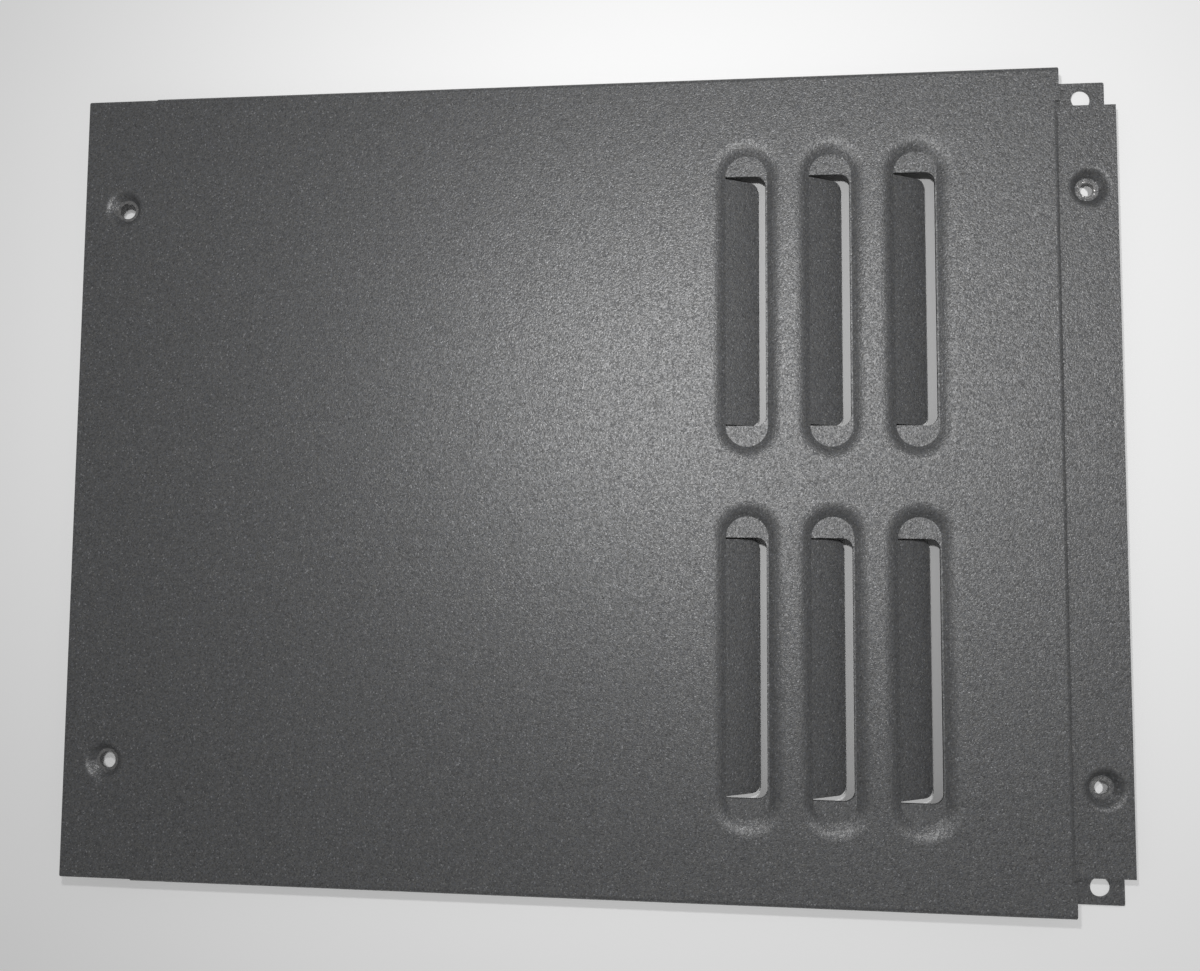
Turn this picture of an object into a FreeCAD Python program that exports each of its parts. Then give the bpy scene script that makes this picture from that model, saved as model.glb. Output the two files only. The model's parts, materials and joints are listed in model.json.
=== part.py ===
import FreeCAD, Part
import math
import os
import Sketcher

# A louvred cover panel folded and pressed from one sheet of steel.
#
# The model's x runs along the panel from its plain edge to its stepped end, y runs across it
# and z points out of the face. The panel lies on the lips of its two side flanges, at z = 0.

SIZES = {
    # the sheet and its folds
    "sheet": 1.0,
    "bend_radius": 0.8,
    "corner_radius": 0.6,
    # the face, from its plain edge to the step, and the channel that it makes with its sides
    "face_length": 340.0,
    "face_width": 278.0,
    "height": 10.0,
    "flange_start": 25.5,
    "edge_step": 1.0,
    "lip_width": 15.0,
    # the end flange, a step below the face, with its screws this far from the step and the edge
    "step_depth": 4.0,
    "end_flange_inset": 12.0,
    "end_screw_x": 11.2,
    "end_screw_margin": 8.8,
    # the ears, where the lips run on past the face, with holes in line with the flange's screws
    "ear_hole_diameter": 6.6,
    "ear_hole_margin": 7.5,
    "ear_hole_inset": 7.5,
    # the screw holes, each with a flat land at the bottom of a pressed dimple
    "plain_screw_x": 14.4,
    "plain_screw_inset": 40.7,
    "plain_screw_diameter": 5.8,
    "plain_screw_land": 1.0,
    "end_screw_inset": 28.0,
    "end_screw_diameter": 4.6,
    "end_screw_land": 1.6,
    "dimple_depth": 2.6,
    "dimple_slope": 48.0,
    "dimple_shoulder": 1.2,
    # the louvres: long dishes in two rows, spaced by the flat lands and margins round them
    "louvre_columns": 3,
    "louvre_end_margin": 34.0,
    "louvre_side_margin": 21.8,
    "louvre_land": 3.4,
    "louvre_row_land": 12.8,
    "louvre_floor_width": 14.1,
    "louvre_depth": 2.2,
    "louvre_slope": 34.0,
    "louvre_shoulder": 5.5,
    "floor_land": 0.5,
    "opening_corner": 3.4,
    # the blade: the height of its free edge above the lips, and the cuts that free it
    "blade_edge_height": 2.2,
    "blade_slot": 1.9,
    "blade_end_gap": 0.6,
    "blade_corner": 3.0,
    # the flat rim kept round each pressed form
    "rim": 0.1,
}

# Heights of the sheet's top surface
FACE = "Sizes.height"
END_FLANGE = "(Sizes.height - Sizes.step_depth)"

HALF_WIDTH = "(Sizes.face_width / 2)"
OUTER_BEND = "(Sizes.bend_radius + Sizes.sheet)"
END_FLANGE_HALF = f"({HALF_WIDTH} - Sizes.end_flange_inset)"
END_HOLES = "(Sizes.face_length + Sizes.end_screw_x)"
OVERALL_LENGTH = f"({END_HOLES} + Sizes.end_screw_margin)"

def rim_of(foot, depth, slope, shoulder):
    """Half width of a pressed dish with its flat rim, from the foot of its wall."""
    half = f"{foot} + {depth} / tan({slope})"
    return f"({half} + ({shoulder} + Sizes.sheet) * tan({slope} / 2) + Sizes.rim)"


# A louvre's dish, with the spacing of the dishes
LOUVRE_FOOT = "(Sizes.louvre_floor_width / 2)"
LOUVRE_SLOPE = "(Sizes.louvre_slope * 1deg)"
LOUVRE_RIM = rim_of(LOUVRE_FOOT, "Sizes.louvre_depth", LOUVRE_SLOPE, "Sizes.louvre_shoulder")
LOUVRE_STRAIGHT = (f"({HALF_WIDTH} - Sizes.louvre_side_margin - 2 * {LOUVRE_RIM}"
                   " - Sizes.louvre_row_land / 2)")
LOUVRE_SPAN = f"((Sizes.louvre_columns - 1) * (2 * {LOUVRE_RIM} + Sizes.louvre_land))"
LOUVRE_X = f"(Sizes.face_length - Sizes.louvre_end_margin - {LOUVRE_RIM} - {LOUVRE_SPAN})"
LOUVRE_Y = f"(({LOUVRE_STRAIGHT} + Sizes.louvre_row_land) / 2 + {LOUVRE_RIM})"

# A blade leaves the foot of its dish's wall and slopes down to its free edge, which stands a
# slot's width from the far edge of the opening in the floor
BLADE_RUN = f"(2 * {LOUVRE_FOOT} - Sizes.floor_land - Sizes.blade_slot)"
BLADE_DROP = "(Sizes.height - Sizes.louvre_depth - Sizes.blade_edge_height)"
BLADE_SLOPE = f"atan({BLADE_DROP} / {BLADE_RUN})"
BLADE_LENGTH = f"({BLADE_DROP} / sin({BLADE_SLOPE}))"


def minus(text):
    return f"-({text})"


def add_sizes(doc):
    """The sheet of driving dimensions, each in a cell that carries its name."""
    sheet = doc.addObject("Spreadsheet::Sheet", "Sizes")
    for row, (name, value) in enumerate(SIZES.items(), start=1):
        sheet.set(f"A{row}", name)
        sheet.set(f"B{row}", str(value))
        sheet.setAlias(f"B{row}", name)
    doc.recompute()
    return sheet


def number(owner, text):
    """The value that an expression has now."""
    result = owner.evalExpression(text)
    return float(getattr(result, "Value", result))


def origin_plane(body, role):
    return next(item for item in body.Origin.OriginFeatures if item.Role == role)


def add_sketch(body, name, plane, offset):
    """A sketch on one of the body's own planes, moved by expressions along the sketch's axes."""
    sketch = body.newObject("Sketcher::SketchObject", name)
    sketch.AttachmentSupport = [(origin_plane(body, plane), "")]
    sketch.MapMode = "FlatFace"
    for axis, text in zip("xyz", offset):
        sketch.setExpression(f"AttachmentOffset.Base.{axis}", text)
    return sketch


def size_constraint(sketch, kind, text, *where):
    index = sketch.addConstraint(Sketcher.Constraint(kind, *where, number(sketch, text)))
    sketch.setExpression(f"Constraints[{index}]", text)


def place_point(sketch, geometry, vertex, x, y):
    """Hold a point at (x, y), on an axis of the sketch where a value is 0."""
    for text, kind, axis in ((x, "DistanceX", -2), (y, "DistanceY", -1)):
        if text == "0":
            sketch.addConstraint(Sketcher.Constraint("PointOnObject", geometry, vertex, axis))
        else:
            size_constraint(sketch, kind, text, geometry, vertex)


def rounding(before, corner, after, radius):
    """Centre and tangent points of the arc that rounds a corner."""
    arriving = (before - corner).normalize()
    leaving = (after - corner).normalize()
    half_angle = arriving.getAngle(leaving) / 2
    reach = radius / math.tan(half_angle)
    centre = corner + (arriving + leaving).normalize() * (radius / math.sin(half_angle))
    return centre, corner + arriving * reach, corner + leaving * reach


def add_arc(sketch, centre, radius, start, end, left_turn):
    """An arc of a rounded corner, and which of its ends the outline arrives at and leaves by."""
    circle = Part.Circle(centre, FreeCAD.Vector(0, 0, 1), radius)
    first, last = (start, end) if left_turn else (end, start)
    arc = Part.ArcOfCircle(circle, circle.parameter(first), circle.parameter(last))
    ends = (1, 2) if left_turn else (2, 1)
    return sketch.addGeometry(arc, False), ends


def draw_outline(sketch, corners):
    """A closed outline. A corner is (x, y), or (x, y, radius) where it is rounded."""
    points = [FreeCAD.Vector(number(sketch, c[0]), number(sketch, c[1]), 0) for c in corners]
    count = len(corners)
    arcs = []
    for i, corner in enumerate(corners):
        before, here, after = points[i - 1], points[i], points[(i + 1) % count]
        if len(corner) == 3:
            radius = number(sketch, corner[2])
            arcs.append((radius,) + rounding(before, here, after, radius))
        else:
            arcs.append((0, here, here, here))
    lines = []
    for i in range(count):
        start, end = arcs[i][3], arcs[(i + 1) % count][2]
        lines.append(sketch.addGeometry(Part.LineSegment(start, end), False))
    for i, corner in enumerate(corners):
        arriving, leaving = lines[i - 1], lines[i]
        radius, centre, start, end = arcs[i]
        if not radius:
            sketch.addConstraint(Sketcher.Constraint("Coincident", arriving, 2, leaving, 1))
            place_point(sketch, leaving, 1, corner[0], corner[1])
            continue
        turn = (points[i] - points[i - 1]).cross(points[(i + 1) % count] - points[i]).z
        arc, (arc_in, arc_out) = add_arc(sketch, centre, radius, start, end, turn > 0)
        sketch.addConstraint(Sketcher.Constraint("Tangent", arriving, 2, arc, arc_in))
        sketch.addConstraint(Sketcher.Constraint("Tangent", arc, arc_out, leaving, 1))
        size_constraint(sketch, "Radius", corner[2], arc)
        sharp = sketch.addGeometry(Part.Point(points[i]), True)
        sketch.addConstraint(Sketcher.Constraint("PointOnObject", sharp, 1, arriving))
        sketch.addConstraint(Sketcher.Constraint("PointOnObject", sharp, 1, leaving))
        place_point(sketch, sharp, 1, corner[0], corner[1])


def draw_circle(sketch, x, y, diameter):
    centre = FreeCAD.Vector(number(sketch, x), number(sketch, y), 0)
    circle = Part.Circle(centre, FreeCAD.Vector(0, 0, 1), number(sketch, diameter) / 2)
    index = sketch.addGeometry(circle, False)
    place_point(sketch, index, 3, x, y)
    size_constraint(sketch, "Diameter", diameter, index)


def draw_slot(sketch, straight, half_width):
    """A slot along the sketch's upright axis: two straight sides and two half rounds."""
    half, end = number(sketch, half_width), number(sketch, straight) / 2
    up = FreeCAD.Vector(0, 0, 1)
    right = Part.LineSegment(FreeCAD.Vector(half, -end, 0), FreeCAD.Vector(half, end, 0))
    left = Part.LineSegment(FreeCAD.Vector(-half, end, 0), FreeCAD.Vector(-half, -end, 0))
    far = Part.ArcOfCircle(Part.Circle(FreeCAD.Vector(0, end, 0), up, half), 0, math.pi)
    near = Part.ArcOfCircle(
        Part.Circle(FreeCAD.Vector(0, -end, 0), up, half), math.pi, 2 * math.pi)
    sides = [sketch.addGeometry(item, False) for item in (right, far, left, near)]
    for i, side in enumerate(sides):
        following = sides[(i + 1) % len(sides)]
        sketch.addConstraint(Sketcher.Constraint("Tangent", side, 2, following, 1))
    place_point(sketch, sides[1], 3, "0", f"{straight} / 2")
    place_point(sketch, sides[3], 3, "0", f"-{straight} / 2")
    size_constraint(sketch, "Radius", half_width, sides[1])


def add_pad(body, name, sketch, length, symmetric=False, downward=False):
    pad = body.newObject("PartDesign::Pad", name)
    pad.Profile = sketch
    pad.SideType = "Symmetric" if symmetric else "One side"
    pad.Reversed = downward
    pad.setExpression("Length", length)
    return pad


def add_cut(body, name, sketch):
    """A cut down through the sheet, from a sketch on its top surface."""
    cut = body.newObject("PartDesign::Pocket", name)
    cut.Profile = sketch
    cut.setExpression("Length", "2 * Sizes.sheet")
    return cut


def add_half_turn(body, name, sketch, backward):
    """A form turned half round the sketch's upright axis."""
    turned = body.newObject("PartDesign::Revolution", name)
    turned.Profile = sketch
    turned.ReferenceAxis = (sketch, ["V_Axis"])
    turned.Angle = 180
    turned.Reversed = backward
    return turned


def finish_feature(body, feature, gains):
    """Recompute, and stop if a feature didn't add or take away what it should."""
    before = feature.BaseFeature.Shape.Volume if feature.BaseFeature else 0
    body.Tip = feature
    body.Document.recompute()
    change = feature.Shape.Volume - before
    if change * gains <= 0:
        raise RuntimeError(f"{feature.Name} changed the volume by {change:.3f} mm3")


def wall_corners(foot, depth, slope, shoulder, inner, rim):
    """Half the section of a pressed dish, with its sheet's top surface at y = 0.

    The floor runs from inner to foot, where it meets the sloping wall. The lower surface is
    the upper one moved by the sheet's thickness, so both have the same bend centres.
    """
    shift = f"(Sizes.sheet * tan({slope} / 2))"
    half = f"({foot} + {depth} / tan({slope}))"
    return [
        (inner, minus(depth)),
        (inner, minus(f"{depth} + Sizes.sheet")),
        (f"{foot} + {shift}", minus(f"{depth} + Sizes.sheet"), "Sizes.sheet"),
        (f"{half} + {shift}", minus("Sizes.sheet"), shoulder),
        (rim, minus("Sizes.sheet")),
        (rim, "0"),
        (half, "0", f"{shoulder} + Sizes.sheet"),
        (foot, minus(depth)),
    ]


def add_channel(body):
    """The face with its side flanges folded down and their lips folded in."""
    inner_width = f"({HALF_WIDTH} - Sizes.sheet)"
    lip_edge = f"({HALF_WIDTH} - Sizes.lip_width)"
    under = "(Sizes.height - Sizes.sheet)"
    right = [
        (lip_edge, "0"),
        (HALF_WIDTH, "0", OUTER_BEND),
        (HALF_WIDTH, FACE, OUTER_BEND),
    ]
    left = [(minus(x), z, *rest) for x, z, *rest in reversed(right)]
    inside_left = [
        (minus(lip_edge), "Sizes.sheet"),
        (minus(inner_width), "Sizes.sheet", "Sizes.bend_radius"),
        (minus(inner_width), under, "Sizes.bend_radius"),
    ]
    inside_right = [
        (inner_width, under, "Sizes.bend_radius"),
        (inner_width, "Sizes.sheet", "Sizes.bend_radius"),
        (lip_edge, "Sizes.sheet"),
    ]
    sketch = add_sketch(body, "channel_section", "YZ_Plane", ("0", "0", "Sizes.flange_start"))
    draw_outline(sketch, right + left + inside_left + inside_right)
    pad = add_pad(body, "channel", sketch, "Sizes.face_length - Sizes.flange_start")
    finish_feature(body, pad, +1)


def add_plain_margin(body):
    """The strip past the flanges, one step narrower on each side."""
    side = f"({HALF_WIDTH} - Sizes.edge_step)"
    sketch = add_sketch(body, "margin_outline", "XY_Plane", ("0", "0", FACE))
    draw_outline(sketch, [
        ("0", minus(side), "Sizes.corner_radius"),
        ("Sizes.flange_start", minus(side)),
        ("Sizes.flange_start", side),
        ("0", side, "Sizes.corner_radius"),
    ])
    finish_feature(body, add_pad(body, "plain_margin", sketch, "Sizes.sheet", downward=True), +1)


def add_end_flange(body):
    """The face's end stepped down to a flange, between the two plain ends of the face."""
    bend_line = f"(Sizes.face_length - {OUTER_BEND} - Sizes.sheet)"
    past_end = f"(Sizes.face_length + {OUTER_BEND})"
    window = add_sketch(body, "step_window", "XY_Plane", ("0", "0", FACE))
    draw_outline(window, [
        (bend_line, minus(END_FLANGE_HALF)),
        (past_end, minus(END_FLANGE_HALF)),
        (past_end, END_FLANGE_HALF),
        (bend_line, END_FLANGE_HALF),
    ])
    finish_feature(body, add_cut(body, "step_cut", window), -1)

    inside = "(Sizes.face_length - Sizes.sheet)"
    under_face = f"({FACE} - Sizes.sheet)"
    under_flange = f"({END_FLANGE} - Sizes.sheet)"
    section = add_sketch(body, "step_section", "XZ_Plane", ("0", "0", "0"))
    draw_outline(section, [
        (bend_line, under_face),
        (inside, under_face, "Sizes.bend_radius"),
        (inside, under_flange, OUTER_BEND),
        (OVERALL_LENGTH, under_flange),
        (OVERALL_LENGTH, END_FLANGE),
        ("Sizes.face_length", END_FLANGE, "Sizes.bend_radius"),
        ("Sizes.face_length", FACE, OUTER_BEND),
        (bend_line, FACE),
    ])
    pad = add_pad(body, "end_flange", section, f"2 * {END_FLANGE_HALF}", symmetric=True)
    finish_feature(body, pad, +1)


def add_ears(body):
    """The lips carried on past the face as two ears, each with a bolt hole."""
    outer = f"({HALF_WIDTH} - {OUTER_BEND})"
    inner = f"({HALF_WIDTH} - Sizes.lip_width)"
    end = f"({END_HOLES} + Sizes.ear_hole_margin)"
    for name, sign in (("ear_near", minus), ("ear_far", str)):
        sketch = add_sketch(body, f"{name}_outline", "XY_Plane", ("0", "0", "0"))
        draw_outline(sketch, [
            ("Sizes.face_length", sign(inner)),
            (end, sign(inner), "Sizes.corner_radius"),
            (end, sign(outer), "Sizes.corner_radius"),
            ("Sizes.face_length", sign(outer)),
        ])
        finish_feature(body, add_pad(body, name, sketch, "Sizes.sheet"), +1)
    holes = add_sketch(body, "ear_hole_centres", "XY_Plane", ("0", "0", "Sizes.sheet"))
    across = f"({HALF_WIDTH} - Sizes.ear_hole_inset)"
    for y in (minus(across), across):
        draw_circle(holes, END_HOLES, y, "Sizes.ear_hole_diameter")
    finish_feature(body, add_cut(body, "ear_holes", holes), -1)


def add_halves(body, name, sections, corners):
    """Two half turns of a pressed section, outward from the middle of its form."""
    halves = []
    for side, backward in (("far", False), ("near", True)):
        section = add_sketch(body, f"{name}_{side}_section", "XZ_Plane", sections[side])
        draw_outline(section, corners)
        halves.append(add_half_turn(body, f"{name}_{side}_end", section, backward))
        finish_feature(body, halves[-1], +1)
    return halves


def add_dimple_pair(body, name, x, y, top, hole, land):
    """A screw hole at the bottom of a round dimple, and its mirror image across the panel."""
    slope = "(Sizes.dimple_slope * 1deg)"
    inner = f"({hole} / 2)"
    foot = f"({inner} + {land})"
    rim = rim_of(foot, "Sizes.dimple_depth", slope, "Sizes.dimple_shoulder")
    blank = add_sketch(body, f"{name}_blank", "XY_Plane", (x, y, top))
    draw_circle(blank, "0", "0", f"2 * {rim}")
    cut = add_cut(body, f"{name}_cut", blank)
    finish_feature(body, cut, -1)
    corners = wall_corners(
        foot, "Sizes.dimple_depth", slope, "Sizes.dimple_shoulder", inner, rim)
    place = (x, top, minus(y))
    halves = add_halves(body, name, {"far": place, "near": place}, corners)
    pair = body.newObject("PartDesign::Mirrored", f"{name}_pair")
    pair.Originals = [cut, *halves]
    pair.MirrorPlane = (origin_plane(body, "XZ_Plane"), [""])
    body.Tip = pair
    body.Document.recompute()


def add_louvre_dish(body, x, y):
    """The long dish of the first louvre: the sheet is cut away and its pressed form put in."""
    end = f"({LOUVRE_STRAIGHT} / 2)"
    corners = wall_corners(
        LOUVRE_FOOT, "Sizes.louvre_depth", LOUVRE_SLOPE, "Sizes.louvre_shoulder", "0", LOUVRE_RIM)
    blank = add_sketch(body, "louvre_blank", "XY_Plane", (x, y, FACE))
    draw_slot(blank, LOUVRE_STRAIGHT, LOUVRE_RIM)
    cut = add_cut(body, "louvre_cut", blank)
    finish_feature(body, cut, -1)

    across = add_sketch(body, "louvre_section", "XZ_Plane", (x, FACE, minus(y)))
    mirrored = [(minus(u), z, *rest) for u, z, *rest in reversed(corners[2:])]
    draw_outline(across, corners[2:] + mirrored)
    walls = add_pad(body, "louvre_walls", across, LOUVRE_STRAIGHT, symmetric=True)
    finish_feature(body, walls, +1)

    places = {
        "far": (x, FACE, minus(f"{y} + {end}")),
        "near": (x, FACE, minus(f"{y} - {end}")),
    }
    return [cut, walls, *add_halves(body, "louvre", places, corners)]


def add_louvre_opening(body, x, y):
    """The opening in the dish's floor, square at the hinge and rounded at the free edge."""
    edge = f"({LOUVRE_FOOT} - Sizes.floor_land)"
    end = f"({LOUVRE_STRAIGHT} / 2)"
    sketch = add_sketch(body, "opening_outline", "XY_Plane",
                        (x, y, f"{FACE} - Sizes.louvre_depth"))
    draw_outline(sketch, [
        (minus(LOUVRE_FOOT), minus(end)),
        (edge, minus(end), "Sizes.opening_corner"),
        (edge, end, "Sizes.opening_corner"),
        (minus(LOUVRE_FOOT), end),
    ])
    cut = add_cut(body, "louvre_opening", sketch)
    finish_feature(body, cut, -1)
    return cut


def add_louvre_blade(body, x, y):
    """The blade: a tongue that is bent down from the foot of the dish's wall."""
    side = f"({LOUVRE_STRAIGHT} / 2 - Sizes.blade_end_gap)"
    sketch = add_sketch(body, "blade_outline", "XY_Plane",
                        (f"{x} - {LOUVRE_FOOT}", y, f"{FACE} - Sizes.louvre_depth"))
    sketch.AttachmentOffset = FreeCAD.Placement(
        sketch.AttachmentOffset.Base,
        FreeCAD.Rotation(FreeCAD.Vector(0, 1, 0), number(sketch, BLADE_SLOPE)),
    )
    sketch.setExpression("AttachmentOffset.Rotation.Angle", BLADE_SLOPE)
    draw_outline(sketch, [
        ("0", minus(side)),
        (BLADE_LENGTH, minus(side), "Sizes.blade_corner"),
        (BLADE_LENGTH, side, "Sizes.blade_corner"),
        ("0", side),
    ])
    blade = add_pad(body, "louvre_blade", sketch, "Sizes.sheet", downward=True)
    finish_feature(body, blade, +1)
    return blade


def add_louvres(body):
    """One louvre, repeated along the panel and mirrored across it."""
    features = add_louvre_dish(body, LOUVRE_X, LOUVRE_Y)
    features.append(add_louvre_opening(body, LOUVRE_X, LOUVRE_Y))
    features.append(add_louvre_blade(body, LOUVRE_X, LOUVRE_Y))
    doc = body.Document
    grid = body.newObject("PartDesign::MultiTransform", "louvre_grid")
    grid.Originals = features
    columns = doc.addObject("PartDesign::LinearPattern", "louvre_columns")
    columns.Direction = (origin_plane(body, "YZ_Plane"), [""])
    columns.setExpression("Length", LOUVRE_SPAN)
    columns.setExpression("Occurrences", "Sizes.louvre_columns")
    rows = doc.addObject("PartDesign::Mirrored", "louvre_rows")
    rows.MirrorPlane = (origin_plane(body, "XZ_Plane"), [""])
    body.addObject(columns)
    body.addObject(rows)
    grid.Transformations = [columns, rows]
    body.Tip = grid
    doc.recompute()


def build_panel(doc):
    body = doc.addObject("PartDesign::Body", "louvred_panel")
    body.Label = "louvred_panel"
    add_channel(body)
    add_plain_margin(body)
    add_end_flange(body)
    add_ears(body)
    add_dimple_pair(
        body, "plain_dimple", "Sizes.plain_screw_x", f"({HALF_WIDTH} - Sizes.plain_screw_inset)",
        FACE, "Sizes.plain_screw_diameter", "Sizes.plain_screw_land",
    )
    add_dimple_pair(
        body, "end_dimple", END_HOLES, f"({END_FLANGE_HALF} - Sizes.end_screw_inset)",
        END_FLANGE, "Sizes.end_screw_diameter", "Sizes.end_screw_land",
    )
    add_louvres(body)
    body.setExpression("Placement.Base.x", minus(f"{OVERALL_LENGTH} / 2"))
    doc.recompute()
    return body


def check(doc, parts):
    for item in doc.Objects:
        if {"Invalid", "Error"} & set(item.State):
            raise RuntimeError(f"{item.Name} failed: {item.State}")
    for part in parts:
        if part.Shape.isNull() or not part.Shape.isValid():
            raise RuntimeError(f"{part.Label} has no valid shape")
        if len(part.Shape.Solids) != 1:
            raise RuntimeError(f"{part.Label} has {len(part.Shape.Solids)} solids")


def main():
    doc = FreeCAD.newDocument("louvred_panel")
    add_sizes(doc)
    parts = [build_panel(doc)]
    check(doc, parts)
    os.makedirs("parts", exist_ok=True)
    for part in parts:
        part.Shape.exportStep(f"parts/{part.Label}.step")
        box = part.Shape.BoundBox
        print(part.Label, f"{box.XLength:.2f} x {box.YLength:.2f} x {box.ZLength:.2f} mm,",
              f"{part.Shape.Volume:.0f} mm3")


main()
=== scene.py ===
import json

import bpy
from mathutils import Euler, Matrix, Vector


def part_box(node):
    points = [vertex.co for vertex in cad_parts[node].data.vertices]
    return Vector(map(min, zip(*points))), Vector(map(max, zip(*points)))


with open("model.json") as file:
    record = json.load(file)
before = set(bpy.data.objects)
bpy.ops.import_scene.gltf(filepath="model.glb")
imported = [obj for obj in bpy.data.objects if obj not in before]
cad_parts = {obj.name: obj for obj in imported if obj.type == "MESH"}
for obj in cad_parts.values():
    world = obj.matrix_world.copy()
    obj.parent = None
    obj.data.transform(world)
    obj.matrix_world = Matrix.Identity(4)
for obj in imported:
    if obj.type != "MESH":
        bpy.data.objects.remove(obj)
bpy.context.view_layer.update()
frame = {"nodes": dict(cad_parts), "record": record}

# Everything is in metres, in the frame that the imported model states: the panel lies on its lips
# on the floor, with its plain edge at low X and its stepped end flange at high X.
MM = 0.001
LOW, HIGH = (Vector(corner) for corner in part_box("louvred_panel"))
FACE_Z = HIGH.z
MOUNTS = {mount["name"]: mount for mount in frame["record"]["mounts"]}

# The camera hangs over the panel, a little off its middle and tilted by a few degrees
CAMERA_LENS_MM = 25.76
CAMERA_PLACE = Vector((0.0315, -0.0176, FACE_Z + 0.2893))
CAMERA_TURN = (0.0557, 0.0815, 0.0066)

# A small lamp hangs beside the camera's lens and a soft one hangs higher, past the louvres
FACE_MIDDLE = Vector((0.0, 0.0, FACE_Z))
NEAR_LAMP_PLACE = CAMERA_PLACE + Vector((-0.029, 0.090, 0.0))
NEAR_LAMP_SIZE, NEAR_LAMP_POWER = 0.02, 0.40
HIGH_LAMP_PLACE = FACE_MIDDLE + Vector((0.270, 0.165, 0.820))
HIGH_LAMP_SIZE, HIGH_LAMP_POWER = 0.10, 3.40
WORLD_STRENGTH = 0.20
FLOOR_SIZE = 6.0

# The coat's grains are about 0.4 mm across, and its paler patches several centimetres
GRAINS_PER_METRE = 2500.0
GRAIN_HEIGHT = 0.08 * MM
PATCHES_PER_METRE = 14.0


def hole_pair(name):
    """The two hole centres of a bolt pattern that lies across the panel, and the hole radius."""
    mount = MOUNTS[name]
    centre = Vector(mount["pos_m"])
    half = Vector((0, mount["dims"]["spacing_y_mm"] * MM / 2, 0))
    return (centre - half, centre + half), mount["dims"]["hole_r_mm"] * MM


# --- material nodes ---------------------------------------------------------------------------

def new_material(name):
    """An empty material with its shader, and functions that add and join its nodes."""
    material = bpy.data.materials.new(name)
    material.use_nodes = True
    tree = material.node_tree
    tree.nodes.clear()
    output = tree.nodes.new("ShaderNodeOutputMaterial")
    shader = tree.nodes.new("ShaderNodeBsdfPrincipled")
    tree.links.new(shader.outputs["BSDF"], output.inputs["Surface"])

    def put(value, socket):
        if isinstance(value, bpy.types.NodeSocket):
            tree.links.new(value, socket)
        else:
            socket.default_value = value

    def node(kind, settings=None, **inputs):
        made = tree.nodes.new(f"ShaderNode{kind}")
        for key, value in (settings or {}).items():
            setattr(made, key, value)
        for key, value in inputs.items():
            put(value, made.inputs[key.replace("_", " ")])
        return made

    def calc(operation, first, second=0.0, clamp=False):
        made = tree.nodes.new("ShaderNodeMath")
        made.operation = operation
        made.use_clamp = clamp
        put(first, made.inputs[0])
        put(second, made.inputs[1])
        return made.outputs[0]

    def blend(amount, first, second):
        made = tree.nodes.new("ShaderNodeMix")
        made.data_type = "RGBA"
        put(amount, made.inputs["Factor"])
        put(first, made.inputs["A"])
        put(second, made.inputs["B"])
        return made.outputs["Result"]

    return material, shader, node, calc, blend, put


def noise(node, where, scale, detail=2.0, roughness=0.5):
    """A noise value at each place, with its scale in bumps per metre."""
    return node("TexNoise", Vector=where, Scale=scale, Detail=detail, Roughness=roughness).outputs["Fac"]


def ramp(node, value, low, high, to_low=0.0, to_high=1.0, smooth=True):
    """A value taken from one range to another and held at its ends."""
    made = node("MapRange", {"clamp": True, "interpolation_type": "SMOOTHSTEP" if smooth else "LINEAR"})
    made.inputs["From Min"].default_value = low
    made.inputs["From Max"].default_value = high
    made.inputs["To Min"].default_value = to_low
    made.inputs["To Max"].default_value = to_high
    made.id_data.links.new(value, made.inputs["Value"])
    return made.outputs["Result"]


def ring_mask(node, calc, where, centres, inner, outer, fade):
    """1 on a ring about each centre, seen from above, and 0 past its faded edges."""
    total = 0.0
    for centre in centres:
        flat = node("VectorMath", {"operation": "MULTIPLY"})
        flat.id_data.links.new(where, flat.inputs[0])
        flat.inputs[1].default_value = (1, 1, 0)
        gap = node("VectorMath", {"operation": "DISTANCE"})
        gap.id_data.links.new(flat.outputs[0], gap.inputs[0])
        gap.inputs[1].default_value = (centre.x, centre.y, 0)
        distance = gap.outputs["Value"]
        rising = ramp(node, distance, inner - fade, inner + fade)
        falling = ramp(node, distance, outer - fade, outer + fade, 1.0, 0.0)
        total = calc("ADD", total, calc("MULTIPLY", rising, falling), clamp=True)
    return total


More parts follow.
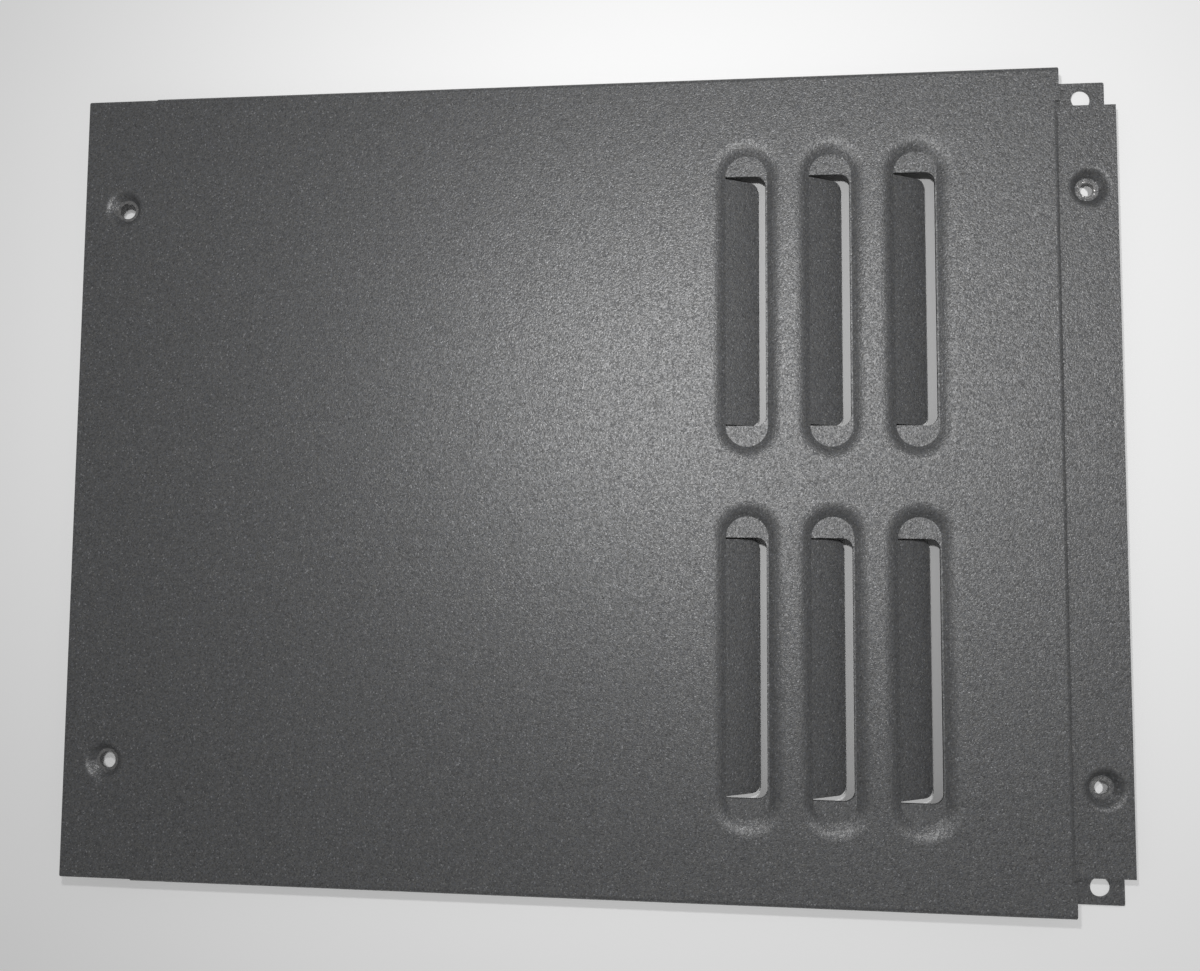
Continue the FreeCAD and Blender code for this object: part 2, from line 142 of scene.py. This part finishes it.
def powder_coat():
    """Charcoal powder coat with a fine sandy texture and painted sparkle, specks of bare steel where screw
    heads have turned, and a painted highlight ring round each screw hole.
    """
    material, shader, node, calc, blend, put = new_material("powder_coat")
    where = node("TexCoord").outputs["Object"]

    # The coat's grain: small domes packed side by side, each with its own grey and its own gloss
    grains = node("TexVoronoi", Vector=where, Scale=GRAINS_PER_METRE)
    each = node("SeparateColor", Color=grains.outputs["Color"])
    tone = each.outputs["Red"]
    gloss = each.outputs["Green"]
    cloud = noise(node, where, PATCHES_PER_METRE, 3.0, 0.5)
    dark = blend(cloud, (0.0400, 0.0405, 0.0420, 1), (0.0440, 0.0445, 0.0460, 1))
    light = blend(each.outputs["Blue"], (0.0960, 0.0940, 0.0880, 1), (0.0820, 0.0870, 0.0980, 1))
    coat = blend(tone, dark, light)
    # Painted highlights: a few grains get a pale grey colour that stands in for the sparkle of reflected
    # light
    painted_sparkle = ramp(node, gloss, 0.97, 0.98)
    coat = blend(painted_sparkle, coat, (0.150, 0.152, 0.158, 1))

    # Round the screw holes: a pale ring, broken up by noise, painted as the highlight on each dimple's lit
    # floor, and specks of bare steel where screw heads have rubbed the coat off
    painted_ring_highlight = 0.0
    bare = 0.0
    for name in ("plain_end_screw_holes", "step_flange_screw_holes"):
        centres, radius = hole_pair(name)
        highlight_break_noise = noise(node, where, 700.0, 3.0, 0.6)
        spots = noise(node, where, 1100.0, 2.0, 0.6)
        land = ring_mask(node, calc, where, centres, radius - 0.5 * MM, radius + 1.0 * MM, 0.35 * MM)
        painted_ring_highlight = calc("ADD", painted_ring_highlight, calc("MULTIPLY", land, ramp(node, highlight_break_noise, 0.36, 0.56)), clamp=True)
        bare = calc("ADD", bare, calc("MULTIPLY", land, ramp(node, spots, 0.60, 0.66)), clamp=True)
    # Painted highlight: the pale grey ring round each hole stands in for light on the dimple floor
    colour = blend(painted_ring_highlight, coat, (0.120, 0.119, 0.118, 1))
    colour = blend(bare, colour, (0.55, 0.54, 0.53, 1))

    put(colour, shader.inputs["Base Color"])
    put(bare, shader.inputs["Metallic"])
    uneven = ramp(node, gloss, 0.0, 1.0, 0.53, 0.45, smooth=False)
    put(blend(bare, uneven, (0.33, 0.33, 0.33, 1)), shader.inputs["Roughness"])
    put(ramp(node, gloss, 0.0, 1.0, 0.25, 0.95, smooth=False), shader.inputs["Specular IOR Level"])
    shader.inputs["IOR"].default_value = 1.7

    height = calc("ADD", calc("MULTIPLY", grains.outputs["Distance"], -1.0), noise(node, where, 900.0, 1.0))
    bump = node("Bump", Strength=0.8, Distance=GRAIN_HEIGHT, Height=height)
    put(bump.outputs["Normal"], shader.inputs["Normal"])
    return material


def paper_floor():
    """The white paper that the panel lies on."""
    material, shader, node, _, blend, put = new_material("white_paper")
    where = node("TexCoord").outputs["Object"]
    tint = blend(noise(node, where, 6.0), (0.93, 0.93, 0.93, 1), (0.95, 0.95, 0.95, 1))
    put(tint, shader.inputs["Base Color"])
    shader.inputs["Roughness"].default_value = 0.9
    shader.inputs["Specular IOR Level"].default_value = 0.2
    return material


# --- the scene --------------------------------------------------------------------------------

def cover_panel():
    panel = frame["nodes"]["louvred_panel"]
    for slot in panel.material_slots:
        slot.material = powder_coat_material
    if not panel.material_slots:
        panel.data.materials.append(powder_coat_material)


def add_floor():
    bpy.ops.mesh.primitive_plane_add(size=FLOOR_SIZE, location=(0, 0, LOW.z))
    floor = bpy.context.object
    floor.name = "floor"
    floor.data.materials.append(paper_floor())


def add_camera():
    data = bpy.data.cameras.new("camera")
    data.sensor_width = 36.0
    data.lens = CAMERA_LENS_MM
    data.clip_start = 0.01
    camera = bpy.data.objects.new("camera", data)
    camera.location = CAMERA_PLACE
    camera.rotation_euler = Euler(CAMERA_TURN, "XYZ")
    bpy.context.collection.objects.link(camera)
    bpy.context.scene.camera = camera


def add_area(name, place, aim, size, power):
    data = bpy.data.lights.new(name, "AREA")
    data.shape = "DISK"
    data.size = size
    data.energy = power
    light = bpy.data.objects.new(name, data)
    light.location = place
    direction = Vector(aim) - Vector(place)
    light.rotation_euler = direction.to_track_quat("-Z", "Y").to_euler()
    bpy.context.collection.objects.link(light)


def add_lights():
    """A small lamp beside the camera and a soft one high over the panel, in a pale surround."""
    below = NEAR_LAMP_PLACE - Vector((0, 0, 1))
    add_area("near", NEAR_LAMP_PLACE, below, NEAR_LAMP_SIZE, NEAR_LAMP_POWER)
    add_area("high", HIGH_LAMP_PLACE, FACE_MIDDLE, HIGH_LAMP_SIZE, HIGH_LAMP_POWER)
    world = bpy.data.worlds.new("world")
    world.use_nodes = True
    background = world.node_tree.nodes["Background"]
    background.inputs["Color"].default_value = (1, 1, 1, 1)
    background.inputs["Strength"].default_value = WORLD_STRENGTH
    bpy.context.scene.world = world


powder_coat_material = powder_coat()
cover_panel()
add_floor()
add_camera()
add_lights()
bpy.context.scene.view_settings.view_transform = "Standard"
